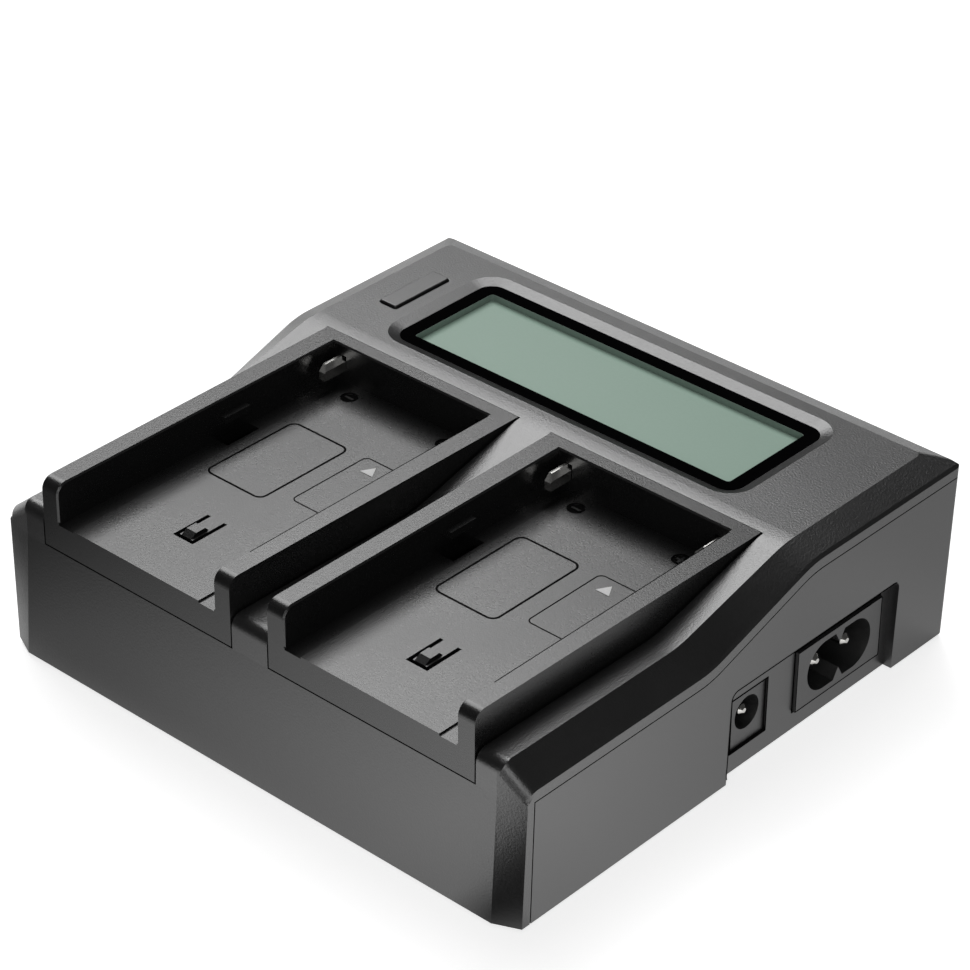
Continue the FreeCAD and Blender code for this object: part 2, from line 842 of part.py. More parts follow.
def build_display():
    face_z = deck_z - d.dish_depth
    glass_z = face_z - d.glass_sink
    x, y = d.screen_centre_side, screen_y
    bezel = new_body("lcd_bezel")
    frame = plane_sketch(bezel, "bezel_face", "XY_Plane", glass_z)
    outline(frame, *rounded(x, y, screen_half_x, screen_half_y, d.screen_corner))
    pad(bezel, frame, d.glass_sink)
    flange_z = skin_z - d.bezel_gap
    flange = plane_sketch(bezel, "bezel_flange", "XY_Plane", flange_z)
    outline(flange, *rounded(x, y, screen_half_x + d.bezel_flange,
                             screen_half_y + d.bezel_flange, d.screen_corner))
    pad(bezel, flange, d.glass_thickness, reverse=True)
    window = plane_sketch(bezel, "bezel_window", "XY_Plane", face_z)
    outline(window, *rounded(x, y, window_half_x, window_half_y, d.window_corner))
    pocket(bezel, window, d.case_height)
    glass_x = window_half_x + d.glass_overlap
    glass_y = window_half_y + d.glass_overlap
    seat = plane_sketch(bezel, "bezel_seat", "XY_Plane", glass_z)
    gap = d.bezel_gap
    outline(seat, rectangle(x - glass_x - gap, x + glass_x + gap, y - glass_y - gap, y + glass_y + gap))
    pocket(bezel, seat, d.case_height)
    nodes["lcd_bezel"] = bezel
    low = glass_z - d.glass_thickness
    nodes["lcd_panel"] = block("lcd_panel", x - glass_x, x + glass_x, y - glass_y, y + glass_y, low, glass_z)
    light_z = low - d.backlight_thickness
    nodes["lcd_backlight"] = block(
        "lcd_backlight", x - glass_x, x + glass_x, y - glass_y, y + glass_y, light_z, low
    )
    half = display_board_half
    board_z = display_board_z()
    front = d.tray_back + d.tray_gap + d.tub_wall + d.display_board_margin / 4
    back = half_depth - d.wall - d.display_board_margin
    notch = d.boss_radius + d.display_board_margin / 2
    board = block("display_board_blank", -half, half, front, back, board_z, light_z)
    holes = [
        rod(f"display_board_hole{n}", side * screw_side, screw_rear, board_z - SPARE, light_z + SPARE, notch)
        for n, side in enumerate((-1, 1), start=1)
    ]
    nodes["display_board"] = cut("display_board", board, holes)


def build_mode_button():
    x, y = button_x, button_y
    top_z = deck_z + d.button_proud
    body = new_body("mode_button")
    flange_top = skin_z - d.button_gap
    cap = plane_sketch(body, "button_cap", "XY_Plane", flange_top)
    outline(cap, *rounded(x, y, d.button_width / 2, d.button_length / 2, d.button_round))
    pad(body, cap, top_z - flange_top)
    flange = plane_sketch(body, "button_flange_plan", "XY_Plane", flange_top)
    outline(flange, *rounded(x, y, d.button_width / 2 + d.button_flange,
                             d.button_length / 2 + d.button_flange, d.button_round))
    pad(body, flange, d.button_flange_height, reverse=True)
    plunger_top = display_board_z() + d.display_board_thickness + d.switch_body + d.switch_plunger
    stem_z = plunger_top + d.button_travel + d.insert_gap / 2
    stem = plane_sketch(body, "button_stem", "XY_Plane", flange_top - d.button_flange_height)
    ring(stem, (x, y), d.button_stem_radius)
    pad(body, stem, flange_top - d.button_flange_height - stem_z, reverse=True)
    round_edges(body, "button_edges", d.button_round / 2, lambda edge: near(edge.BoundBox.ZMin, top_z))
    nodes["mode_button"] = body
    half = d.switch_size / 2
    board_top = display_board_z() + d.display_board_thickness
    case = block("switch_case", x - half, x + half, y - half, y + half, board_top, board_top + d.switch_body)
    plunger = rod("switch_plunger", x, y, board_top + d.switch_body / 2, plunger_top, d.button_stem_radius)
    nodes["mode_switch"] = fuse("mode_switch", [case, plunger])


# Battery trays, their contact blades and terminals

def build_tray(name, centre):
    bottom_z = tray_bottom_z
    floor_z = tray_floor_z
    body = new_body(f"{name}_battery_tray")
    plan = plane_sketch(body, f"{name}_tray_plan", "XY_Plane", bottom_z)
    outline(plan, tray_outline(centre, sized(0), tray_front, d.tray_back))
    pad(body, plan, deck_z - bottom_z)
    inner = d.tray_inner_half
    bay_back = d.tray_back - d.tray_back_wall
    bay = plane_sketch(body, f"{name}_tray_bay", "XY_Plane", deck_z)
    outline(bay, rectangle(centre - inner, centre + inner, tray_front - SPARE, bay_back))
    pocket(body, bay, deck_z - floor_z)
    round_edges(
        body, f"{name}_wall_noses", d.wall_nose_round,
        lambda edge: near(edge.BoundBox.ZMin, deck_z) and near(edge.BoundBox.YMax, tray_front),
    )

    def is_inner_top(edge):
        middle = edge.BoundBox.Center
        beside = near(abs(middle.x - centre.value), inner) or near(middle.y, bay_back)
        return beside and near(edge.BoundBox.ZMin, deck_z)

    bevel_edges(body, f"{name}_wall_edges", d.wall_edge_bevel, is_inner_top)
    grooves = plane_sketch(body, f"{name}_tray_grooves", "XY_Plane", floor_z)
    for side in (-1, 1):
        left, right = in_order(centre + side * inner, centre + side * (inner - d.groove_width))
        outline(grooves, rectangle(left, right, tray_front - SPARE, bay_back))
    pocket(body, grooves, d.groove_depth)
    under = plane_sketch(body, f"{name}_tray_underside", "XY_Plane", bottom_z)
    skin = d.tray_skin
    half = tray_front_half - skin
    outline(under, rectangle(centre - half, centre + half, tray_front + skin, bay_back - skin))
    pocket(body, under, floor_z - d.groove_depth - skin - bottom_z, reverse=True)
    build_tongue(body, name, centre, floor_z)
    build_tabs(body, name, centre, floor_z)
    build_marks(body, name, centre, floor_z)
    slots = plane_sketch(body, f"{name}_blade_slots", "XY_Plane", bottom_z)
    gap = d.blade_gap
    for shape in blade_slots(centre, gap):
        outline(slots, shape)
    pocket(body, slots, blade_high_z + gap - bottom_z, reverse=True)
    windows = plane_sketch(body, f"{name}_blade_windows", "XZ_Plane", -bay_back + gap)
    for side in (-1, 1):
        x = centre + side * blade_offset
        half_slot = d.blade_thickness / 2 + gap
        outline(windows, rectangle(x - half_slot, x + half_slot, blade_low_z - gap, blade_high_z + gap))
    pocket(body, windows, d.tray_back_wall / 2)
    nodes[f"{name}_battery_tray"] = body


def build_tongue(body, name, centre, floor_z):
    # a U-shaped slot frees the tongue, and its front end carries the catch
    half = d.tongue_width / 2
    outer = half + d.tongue_slot
    front = tray_front + d.tongue_inset
    rear = front + d.tongue_length
    slot = plane_sketch(body, f"{name}_tongue_slot", "XY_Plane", floor_z)
    outline(slot, [
        (centre - outer, front - d.tongue_slot), (centre + outer, front - d.tongue_slot),
        (centre + outer, rear), (centre + half, rear), (centre + half, front),
        (centre - half, front), (centre - half, rear), (centre - outer, rear),
    ])
    pocket(body, slot, d.tray_base_height)
    catch = plane_sketch(body, f"{name}_catch", "YZ_Plane", centre)
    sink = d.catch_height / 2
    high = floor_z + d.catch_height
    peak = front + d.catch_rise_run
    outline(catch, [
        (front, floor_z - sink), (peak + d.catch_flat + d.catch_rise_run, floor_z - sink),
        (peak + d.catch_flat + d.catch_height, floor_z), (peak + d.catch_flat, high),
        (peak, high), (front, floor_z),
    ])
    pad(body, catch, d.tongue_width - d.tongue_slot, symmetric=True)


def build_tabs(body, name, centre, floor_z):
    # guide tabs on the walls, each over the opening that its mould core leaves
    inner = d.tray_inner_half
    tab_z = floor_z + d.tab_rise
    tabs = plane_sketch(body, f"{name}_tabs", "XY_Plane", tab_z)
    openings = plane_sketch(body, f"{name}_tab_openings", "XY_Plane", floor_z)
    sink = d.tab_reach / 2
    margin = d.tab_opening_margin
    tab_start = d.tray_back - d.tab_inset
    tab_end = tab_start + d.tab_length
    for side in (-1, 1):
        wall_x = centre + side * inner
        left, right = in_order(wall_x + side * sink, wall_x - side * d.tab_reach)
        outline(tabs, rectangle(left, right, tab_start, tab_end))
        left, right = in_order(wall_x, wall_x - side * d.tab_opening_width)
        outline(openings, rectangle(left, right, tab_start - margin, tab_end + margin))
    pad(body, tabs, d.tab_thickness)
    pocket(body, openings, d.tray_base_height)


def build_marks(body, name, centre, floor_z):
    # sunk discs behind the floor with a raised minus at the left and a raised plus at the right
    y = d.tray_back - d.mark_inset
    discs = plane_sketch(body, f"{name}_mark_discs", "XY_Plane", floor_z)
    for side in (-1, 1):
        ring(discs, (centre + side * d.mark_spacing, y), d.mark_radius)
    pocket(body, discs, d.mark_sink)
    bar, line = d.mark_bar / 2, d.mark_line / 2
    signs = plane_sketch(body, f"{name}_signs", "XY_Plane", floor_z - d.mark_sink - d.mark_relief)
    minus_x = centre - d.mark_spacing
    plus_x = centre + d.mark_spacing
    outline(signs, rectangle(minus_x - bar, minus_x + bar, y - line, y + line))
    outline(signs, [
        (plus_x - bar, y - line), (plus_x - line, y - line), (plus_x - line, y - bar),
        (plus_x + line, y - bar), (plus_x + line, y - line), (plus_x + bar, y - line),
        (plus_x + bar, y + line), (plus_x + line, y + line), (plus_x + line, y + bar),
        (plus_x - line, y + bar), (plus_x - line, y + line), (plus_x - bar, y + line),
    ])
    pad(body, signs, d.mark_relief * 2)


def blade_leg_span():
    middle = d.tray_back - d.tray_back_wall / 2
    return middle - d.blade_leg / 2, middle + d.blade_leg / 2


def blade_slots(centre, gap):
    front, back = blade_leg_span()
    half = d.blade_thickness / 2 + gap
    places = [centre + side * blade_offset for side in (-1, 1)]
    return [rectangle(x - half, x + half, front - gap, back + gap) for x in places]


def build_contacts(name, centre):
    # two bent blades: the finger reaches into the bay, the leg runs down inside the back wall
    leg_front, leg_back = blade_leg_span()
    block_top = tub_under_z - d.blade_gap
    foot_z = block_top - d.terminal_height / 2
    low, high = blade_low_z, blade_high_z
    tip = d.tray_back - d.blade_reach
    blades = []
    for number, side in enumerate((-1, 1), start=1):
        x = centre + side * blade_offset
        corners = [
            (leg_front, foot_z), (leg_back, foot_z), (leg_back, high),
            (tip + d.blade_taper, high), (tip, high - d.blade_taper), (tip, low), (leg_front, low),
        ]
        blank = prism(
            f"{name}_blade{number}_blank", "YZ_Plane", x, d.blade_thickness, [corners], symmetric=True
        )
        inner_x = x - side * d.blade_thickness / 2
        blades.append(soften(
            f"{name}_blade{number}", blank, d.blade_facet,
            lambda edge: near(edge.BoundBox.Center.x, inner_x) and near(edge.BoundBox.ZMin, high)
            and near(edge.BoundBox.XMin, edge.BoundBox.XMax), "Chamfer",
        ))
    nodes[f"{name}_contact_blades"] = gather(f"{name}_contact_blades", blades)
    half = d.tray_inner_half
    deep = d.terminal_depth / 2
    middle = (leg_front + leg_back) / 2
    terminal = new_body(f"{name}_terminal_block")
    plan = plane_sketch(terminal, f"{name}_terminal_plan", "XY_Plane", block_top)
    outline(plan, rectangle(centre - half, centre + half, middle - deep, middle + deep))
    pad(terminal, plan, d.terminal_height, reverse=True)
    slots = plane_sketch(terminal, f"{name}_terminal_slots", "XY_Plane", block_top)
    for shape in blade_slots(centre, d.blade_gap):
        outline(slots, shape)
    pocket(terminal, slots, d.terminal_height / 2 + d.blade_gap)
    nodes[f"{name}_terminal_block"] = terminal


# Bottom case

def recess_corners():
    top = base_z + d.recess_top
    turn = d.recess_round
    front, back = recess_span()
    corners = [
        (front, base_z - SPARE), (back, base_z - SPARE), (back, top - turn),
        (back - turn, top), (front + turn, top), (front, top - turn),
    ]
    return corners, {2: turn, 4: turn}


def recess_span():
    return jack_y - d.recess_front_margin, inlet_y + d.recess_rear_margin


def build_bottom_case(envelope):
    blank = common("case_block", [envelope, below_seam("case_under_seam", -d.seam_gap, d.seam_gap)])
    inner_half = half_foot - d.wall
    inner_front = apron_end + d.seam_gap - SPARE
    inner_back = half_depth - d.wall
    floor_z = base_z + d.wall
    room = prism(
        "case_room", "XY_Plane", floor_z, d.case_height,
        [rectangle(-inner_half, inner_half, inner_front, inner_back)],
    )
    tray = cut("case_tray", blank, [room])
    # floor tongue that reaches forward inside the apron of the cover
    gap = d.seam_gap
    tongue_half = half_foot - d.wall - gap - d.corner_cut_side / 2
    sill_front = front_inner + gap
    tongue = block(
        "case_tongue", -tongue_half, tongue_half, sill_front, apron_end + d.wall * 2, base_z, floor_z
    )
    sill = block("case_sill", -tongue_half, tongue_half, sill_front, sill_front + d.wall / 2, base_z,
                 floor_z + d.sill_height)
    recess_front, recess_back = recess_span()
    backing = block(
        "recess_backing", panel_x - d.wall, half_foot - d.wall / 2, recess_front - d.wall,
        recess_back + d.wall, base_z, base_z + d.recess_top + d.wall,
    )
    posts = []
    bores = []
    for y in (screw_front, screw_rear):
        for side in (-1, 1):
            x = side * screw_side
            name = f"case_post{len(posts) + 1}"
            posts.append(rod(name, x, y, base_z, post_top_z - gap, d.boss_radius + d.wall / 2))
            head_z = post_top_z - d.wall * 2 - gap
            bores.append(rod(f"{name}_well", x, y, base_z - SPARE, head_z, d.head_radius + gap))
            bores.append(rod(f"{name}_bore", x, y, base_z, post_top_z + SPARE, d.screw_shank + gap))
    for x, y in board_post_places():
        posts.append(rod(f"board_post{len(posts) - 3}", x, y, base_z, base_z + d.board_up, d.post_radius))
    solid = fuse("case_solid", [tray, tongue, sill, backing] + posts)
    recess = new_body("side_recess")
    plan = plane_sketch(recess, "side_recess_plan", "YZ_Plane", panel_x)
    outline(plan, *recess_corners())
    pad(recess, plan, d.recess_depth * 3)
    cuts = [recess] + bores + inlet_openings() + foot_seats() + [vent_cutter()]
    nodes["bottom_case"] = cut("bottom_case", solid, cuts)


def inlet_openings():
    gap = d.insert_gap
    left, right = panel_x - d.wall * 2, panel_x + SPARE
    cuts = []
    for name, y, z, width, tall in (
        ("mains", inlet_y, d.inlet_up, d.inlet_width, d.inlet_tall),
        ("jack", jack_y, d.jack_up, d.jack_width, d.jack_tall),
    ):
        half_y, half_z = width / 2 + gap, tall / 2 + gap
        mid = base_z + z
        cuts.append(block(f"{name}_opening", left, right, y - half_y, y + half_y, mid - half_z, mid + half_z))
    return cuts


def foot_seats():
    return [
        rod(f"foot_seat{n}", x, y, base_z - SPARE, base_z + d.foot_seat, d.foot_radius + d.seam_gap)
        for n, (x, y) in enumerate(foot_places(), start=1)
    ]


def foot_places():
    reach = half_foot - d.foot_side_inset
    rows = (d.foot_front_inset - half_depth, half_depth - d.foot_rear_inset)
    return [(side * reach, y) for y in rows for side in (-1, 1)]


def vent_cutter():
    body = new_body("vent_slots")
    sketch = plane_sketch(body, "vent_slot", "XY_Plane", base_z - SPARE)
    start = -d.vent_pitch * (d.vent_count - 1) / 2
    half = d.vent_length / 2
    corners, arcs = rounded(sized(0), start, half, d.vent_width / 2, d.vent_round)
    outline(sketch, corners, arcs)
    pad(body, sketch, d.wall + SPARE * 2)
    pattern = body.newObject("PartDesign::LinearPattern", "vent_row")
    pattern.Originals = [body.Tip]
    pattern.Direction = (next(f for f in body.Origin.OriginFeatures if f.Role == "Y_Axis"), [""])
    pattern.Length = (d.vent_pitch * (d.vent_count - 1)).value
    bind(pattern, "Length", d.vent_pitch * (d.vent_count - 1))
    pattern.Occurrences = int(d.vent_count.value)
    bind(pattern, "Occurrences", d.vent_count)
    body.Tip = pattern
    doc.recompute()
    return body


# Inlets

def build_mains_inlet():
    y, z = inlet_y, base_z + d.inlet_up
    face_x = panel_x + d.inlet_proud
    body = new_body("mains_inlet")
    front = plane_sketch(body, "mains_inlet_front", "YZ_Plane", face_x)
    half_y, half_z = d.inlet_width / 2, d.inlet_tall / 2
    outline(front, rectangle(y - half_y, y + half_y, z - half_z, z + half_z))
    pad(body, front, d.inlet_body, reverse=True)
    socket = plane_sketch(body, "mains_socket", "YZ_Plane", face_x)
    lobe = d.socket_tall / 2
    end = d.socket_width / 2
    waist = d.socket_waist / 2
    run = d.socket_waist_run / 2
    outline(socket, [
        (y - end + lobe, z - lobe), (y - run, z - lobe), (y, z - waist), (y + run, z - lobe),
        (y + end - lobe, z - lobe), (y + end - lobe, z + lobe), (y + run, z + lobe), (y, z + waist),
        (y - run, z + lobe), (y - end + lobe, z + lobe),
    ], {4: d.socket_round, 9: d.socket_round})
    pocket(body, socket, d.socket_depth)
    holes = plane_sketch(body, "mains_pin_holes", "YZ_Plane", face_x)
    for side in (-1, 1):
        ring(holes, (y + side * d.pin_spacing / 2, z), d.pin_radius)
    pocket(body, holes, d.inlet_body + SPARE)
    nodes["mains_inlet"] = body
    start = face_x - d.inlet_body - d.pin_tail
    length = d.inlet_body - d.socket_depth + d.pin_length + d.pin_tail
    pins = []
    for number, side in enumerate((-1, 1), start=1):
        pin = side_rod(f"mains_pin{number}", start, length, y + side * d.pin_spacing / 2, z, d.pin_radius)
        tip = start + length
        pins.append(soften(f"mains_pin{number}_tip", pin, d.pin_bevel,
                           lambda edge: near(edge.BoundBox.XMin, tip), "Chamfer"))
    nodes["mains_pins"] = gather("mains_pins", pins)


def build_jack():
    y, z = jack_y, base_z + d.jack_up
    bore_z = base_z + d.jack_bore_up
    face_x = panel_x - d.jack_sink
    body = new_body("low_voltage_jack")
    front = plane_sketch(body, "jack_front", "YZ_Plane", face_x)
    half_y, half_z = d.jack_width / 2, d.jack_tall / 2
    outline(front, rectangle(y - half_y, y + half_y, z - half_z, z + half_z))
    pad(body, front, d.jack_body, reverse=True)
    bore = plane_sketch(body, "jack_bore", "YZ_Plane", face_x)
    ring(bore, (y, bore_z), d.jack_bore_radius)
    pocket(body, bore, d.jack_bore_depth)
    hole = plane_sketch(body, "jack_pin_hole", "YZ_Plane", face_x)
    ring(hole, (y, bore_z), d.jack_pin_radius)
    pocket(body, hole, d.jack_body + SPARE)
    nodes["low_voltage_jack"] = body
    start = face_x - d.jack_body - d.jack_sink
    length = d.jack_body + d.jack_sink - d.jack_bore_depth + d.jack_pin_length
    pin = side_rod("jack_pin_bar", start, length, y, bore_z, d.jack_pin_radius)
    tip = start + length
    nodes["jack_pin"] = soften("jack_pin", pin, d.jack_pin_bevel,
                               lambda edge: near(edge.BoundBox.XMin, tip), "Chamfer")


# Main board and its components

def board_post_places():
    inset = d.post_side_inset
    rows = (board_front + d.post_front_inset, board_back - d.post_rear_inset)
    return [(x, y) for y in rows for x in (board_left + inset, board_right - inset)]


def build_main_board():
    low = base_z + d.board_up
    blank = block("main_board_blank", board_left, board_right, board_front, board_back, low, board_top_z)
    start, end = low - SPARE, board_top_z + SPARE
    bore = d.board_screw_radius + d.insert_gap
    holes = [rod("main_board_notch", -screw_side, screw_rear, start, end, d.boss_radius + d.wall)]
    holes += [
        rod(f"main_board_bore{n}", x, y, start, end, bore) for n, (x, y) in enumerate(board_post_places(), start=1)
    ]
    nodes["main_board"] = cut("main_board", blank, holes)


def build_transformer(right):
    # a closed core with its winding, behind the terminals of the trays; gives its left and front faces
    low, high = board_top_z, display_board_z() - d.core_headroom
    left = right - d.core_length
    front = d.tray_back + d.core_terminal_gap
    back = front + d.core_depth
    bar = d.core_bar
    frame = block("transformer_frame", left, right, front, back, low, high)
    start, end = low - SPARE, high + SPARE
    window = block("transformer_window", left + bar, right - bar, front + bar, back - bar, start, end)
    nodes["transformer_core"] = cut("transformer_core", frame, [window])
    gap = bar + d.winding_gap
    nodes["transformer_winding"] = block(
        "transformer_winding", left + gap, right - gap, front + gap, back - gap, low, high - d.winding_margin
    )
    return left, front


def build_can(label, x, y, height, radius, bevel):
    high = board_top_z + height
    return soften(label, rod(f"{label}_can", x, y, board_top_z, high, radius), bevel,
                  lambda edge: near(edge.BoundBox.ZMin, high), "Chamfer")


def build_heat_sink():
    low, high = board_top_z, tub_under_z - d.sink_headroom
    half = d.sink_length / 2
    front = board_front + d.sink_inset
    pieces = [block("heat_sink_plate", -half, half, front, front + d.sink_plate, low, high)]
    pitch = (d.sink_length - d.fin_thickness) / (d.fin_count - 1)
    for number in range(int(d.fin_count.value)):
        x = pitch * number - half
        pieces.append(block(f"heat_sink_fin{number + 1}", x, x + d.fin_thickness, front + d.sink_plate / 2,
                            front + d.sink_depth, low, high))
    nodes["heat_sink"] = fuse("heat_sink", pieces)


def build_components():
    capacitor_x = board_right - d.capacitor_side_inset
    height = display_board_z() - d.capacitor_headroom - board_top_z
    nodes["main_capacitor"] = build_can("main_capacitor", capacitor_x, board_back - d.capacitor_rear_inset,
                                        height, d.capacitor_radius, d.capacitor_bevel)
    core_left, core_front = build_transformer(capacitor_x - d.capacitor_radius - d.part_gap)
    cans = []
    for number in range(int(d.output_count.value)):
        x = core_left - d.output_radius * 2 - d.output_pitch * number
        cans.append(build_can(f"output_capacitor{number + 1}", x, core_front + d.core_depth / 2,
                              d.output_height, d.output_radius, d.output_bevel))
    nodes["output_capacitors"] = gather("output_capacitors", cans)
    build_heat_sink()
    left = core_left + d.part_gap
    back = core_front - d.controller_gap
    nodes["charge_controller"] = block(
        "charge_controller", left, left + d.controller_length, back - d.controller_depth, back,
        board_top_z, board_top_z + d.controller_height,
    )
    x = board_right - d.filter_radius
    high = board_top_z + d.filter_height
    coil = rod("line_filter_ring", x, jack_y, board_top_z, high, d.filter_radius)
    bore = rod("line_filter_hole", x, jack_y, board_top_z - SPARE, high + SPARE, d.filter_bore)
    nodes["line_filter"] = cut("line_filter", coil, [bore])
    nodes["fuse"] = side_rod("fuse", board_right - d.fuse_side_inset, d.fuse_length, inlet_y - d.fuse_gap,
                             board_top_z + d.fuse_radius, d.fuse_radius)


def build_screws():
    gap = d.seam_gap
    head_z = post_top_z - d.wall * 2 - gap
    screws = []
    for y in (screw_front, screw_rear):
        for side in (-1, 1):
            x = side * screw_side
            number = len(screws) + 1
            head = rod(f"case_screw{number}_head", x, y, head_z - d.head_height, head_z, d.head_radius)
            shank = rod(f"case_screw{number}_shank", x, y, head_z - d.head_height / 2,
                        head_z + d.screw_grip, d.screw_shank - gap / 4)
            screws.append(fuse(f"case_screw{number}", [head, shank]))
    nodes["case_screws"] = gather("case_screws", screws)
    small = [
        rod(f"board_screw{number}", x, y, board_top_z, board_top_z + d.head_height, d.head_radius)
        for number, (x, y) in enumerate(board_post_places(), start=1)
    ]
    nodes["board_screws"] = gather("board_screws", small)


def build_feet():
    feet = []
    for number, (x, y) in enumerate(foot_places(), start=1):
        disc = rod(f"rubber_foot{number}_disc", x, y, sized(0), base_z + d.foot_seat, d.foot_radius)
        feet.append(soften(f"rubber_foot{number}", disc, d.foot_bevel,
                           lambda edge: near(edge.BoundBox.ZMax, 0), "Chamfer"))
    nodes["rubber_feet"] = gather("rubber_feet", feet)


envelope = build_envelope()
build_top_cover(envelope)
build_display()
build_mode_button()
for side_name, bay_centre in (("left", -d.bay_centre), ("right", d.bay_centre)):
    build_tray(side_name, bay_centre)
    build_contacts(side_name, bay_centre)
build_bottom_case(envelope)
build_mains_inlet()
build_jack()
build_main_board()
build_components()
build_screws()
build_feet()
doc.recompute()

for item in doc.Objects:
    faults = [state for state in item.State if state in ("Invalid", "Error")]
    if faults:
        raise RuntimeError(f"{item.Label} is {faults}")
os.makedirs("parts", exist_ok=True)
for label, item in nodes.items():
    if item.Shape.isNull() or not item.Shape.isValid():
        raise RuntimeError(f"{label} has no valid shape")
    item.Label = label
    item.Shape.exportStep(f"parts/{label}.step")
    box = item.Shape.BoundBox
    print(
        f"{label}: {len(item.Shape.Solids)} solid, {item.Shape.Volume:.1f} mm3, "
        f"x {box.XMin:.2f} {box.XMax:.2f} y {box.YMin:.2f} {box.YMax:.2f} z {box.ZMin:.2f} {box.ZMax:.2f}"
    )
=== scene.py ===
import math

import bpy
from mathutils import Matrix, Vector


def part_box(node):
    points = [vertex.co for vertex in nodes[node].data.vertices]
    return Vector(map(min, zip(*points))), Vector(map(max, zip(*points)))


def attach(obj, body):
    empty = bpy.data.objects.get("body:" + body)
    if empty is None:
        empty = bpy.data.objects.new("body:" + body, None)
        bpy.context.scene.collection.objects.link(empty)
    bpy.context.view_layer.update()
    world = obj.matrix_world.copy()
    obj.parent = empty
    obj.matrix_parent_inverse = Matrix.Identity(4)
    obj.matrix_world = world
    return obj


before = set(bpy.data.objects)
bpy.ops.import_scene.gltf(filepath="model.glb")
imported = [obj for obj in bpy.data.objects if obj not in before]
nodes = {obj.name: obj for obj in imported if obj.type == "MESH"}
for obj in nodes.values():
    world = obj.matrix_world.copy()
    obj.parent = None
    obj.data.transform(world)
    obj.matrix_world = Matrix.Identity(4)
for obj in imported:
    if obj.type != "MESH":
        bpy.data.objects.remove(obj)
scene = bpy.context.scene
mm = 0.001


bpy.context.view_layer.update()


# Camera

camera = {
    "place": (0.356269, -0.394683, 0.372177),
    "azimuth": 41.9686,  # degrees that the look direction lies left of +Y
    "pitch": 32.4898,  # degrees below the horizon
    "roll": 0.4641,
    "lens": 131.8,
    "sensor": 36,
    "clip": (0.01, 50),
}


def turnedCamera(azimuth, pitch, roll):
    spin = Matrix.Rotation(math.radians(azimuth), 3, "Z")
    tip = Matrix.Rotation(math.radians(90 - pitch), 3, "X")
    bank = Matrix.Rotation(math.radians(roll), 3, "Z")
    return (spin @ tip @ bank).to_4x4()


def addCamera():
    data = bpy.data.cameras.new("camera")
    data.lens = camera["lens"]
    data.sensor_width = camera["sensor"]
    data.clip_start, data.clip_end = camera["clip"]
    item = bpy.data.objects.new("camera", data)
    scene.collection.objects.link(item)
    turn = turnedCamera(camera["azimuth"], camera["pitch"], camera["roll"])
    item.matrix_world = Matrix.Translation(camera["place"]) @ turn
    scene.camera = item


addCamera()
print("camera set")


# Shader maths

class Shade:
    # a socket with the operators used here and their reflected forms, each of which adds a Math node
    def __init__(self, tree, socket):
        self.tree = tree
        self.socket = socket

    def maths(self, operation, *values):
        node = addNode(self.tree, "ShaderNodeMath", {"operation": operation}, dict(enumerate(values)))
        return Shade(self.tree, node.outputs[0])

    def __add__(self, other):
        return self.maths("ADD", self, other)

    def __radd__(self, other):
        return self.maths("ADD", other, self)

    def __sub__(self, other):
        return self.maths("SUBTRACT", self, other)

    def __rsub__(self, other):
        return self.maths("SUBTRACT", other, self)

    def __mul__(self, other):
        return self.maths("MULTIPLY", self, other)

    def __rmul__(self, other):
        return self.maths("MULTIPLY", other, self)

    def over(self, low, high):
        # 0 below low, 1 above high and even between them
        ends = {0: self, 1: low, 2: high, 3: 0.0, 4: 1.0}
        node = addNode(self.tree, "ShaderNodeMapRange", {"clamp": True}, ends)
        return Shade(self.tree, node.outputs[0])


def addNode(tree, kind, settings, sockets):
    node = tree.nodes.new(kind)
    for name, value in settings.items():
        setattr(node, name, value)
    for name, value in sockets.items():
        socket = node.inputs[name]
        if isinstance(value, Shade):
            tree.links.new(value.socket, socket)
        elif isinstance(value, bpy.types.NodeSocket):
            tree.links.new(value, socket)
        else:
            socket.default_value = value
    return node


noise = {
    "fineDetail": 3.0,
    "cloudDetail": 4.0,
    "roughness": 0.55,
    "range": (0.3, 0.7),  # the part of the noise that is spread over 0 to 1
    "fineShare": 0.6,
    "cloudShare": 0.4,
}


def grain(tree, scale, detail, stretch=None):
    spot = addNode(tree, "ShaderNodeTexCoord", {}, {}).outputs["Object"]
    if stretch:
        spot = addNode(tree, "ShaderNodeMapping", {}, {"Vector": spot, "Scale": stretch}).outputs[0]
    texture = addNode(tree, "ShaderNodeTexNoise", {}, {
        "Vector": spot, "Scale": scale, "Detail": detail, "Roughness": noise["roughness"],
    })
    return Shade(tree, texture.outputs["Fac"])


def mixedColour(tree, factor, first, second):
    # of the node's sockets, 6 and 7 and the output 2 are the ones for colours
    mix = addNode(tree, "ShaderNodeMix", {"data_type": "RGBA"}, {
        "Factor": factor, 6: (*first, 1), 7: (*second, 1),
    })
    return mix.outputs[2]


# Finishes: each has two colours that a noise mixes, a spread of roughness and a fine bump

def newMaterial(name):
    material = bpy.data.materials.new(name)
    material.use_nodes = True
    return material, material.node_tree, material.node_tree.nodes["Principled BSDF"]


